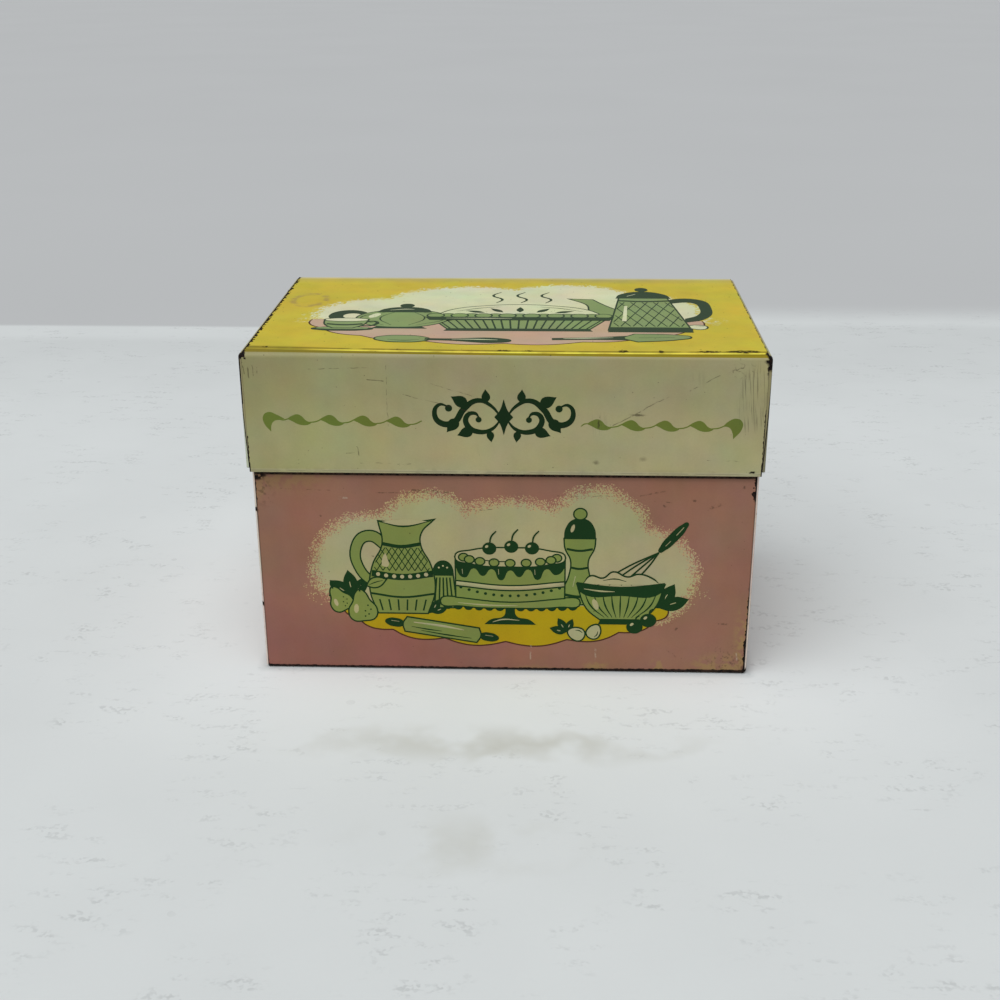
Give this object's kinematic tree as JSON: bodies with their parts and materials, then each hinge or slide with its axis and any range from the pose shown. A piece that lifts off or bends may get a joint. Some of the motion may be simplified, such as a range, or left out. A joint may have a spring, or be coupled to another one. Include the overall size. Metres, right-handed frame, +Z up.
{
  "type": "recipe card box",
  "caption": "Hinged tinplate box for recipe cards: folded body, deep telescoping lid, and a hinge rolled from both sheets round one steel wire.",
  "frame": {"origin": "middle of the underside, on the surface the box stands on", "axes": "+X to the right along the box, +Y to the back where the hinge is, +Z up; the front faces -Y"},
  "size_m": [0.134, 0.086, 0.09],
  "materials": {
    "body_print": "pink lithographed tinplate, satin varnish, rusted at the cut edges",
    "lid_print": "cream and yellow lithographed tinplate, satin varnish, scratched",
    "hinge_steel": "drawn steel wire"
  },
  "bodies": {
    "body": {"body_wrap": "body_print", "body_end_left": "body_print", "body_end_right": "body_print"},
    "lid": {"lid_wrap": "lid_print", "lid_end_left": "lid_print", "lid_end_right": "lid_print", "hinge_wire": "hinge_steel"}
  },
  "joints": [
    {"name": "lid_hinge", "type": "hinge", "parent": "body", "child": "lid", "pos_m": [0, 0.04185, 0.05835], "axis": [-1, 0, 0], "range_deg": [0, 115]}
  ]
}
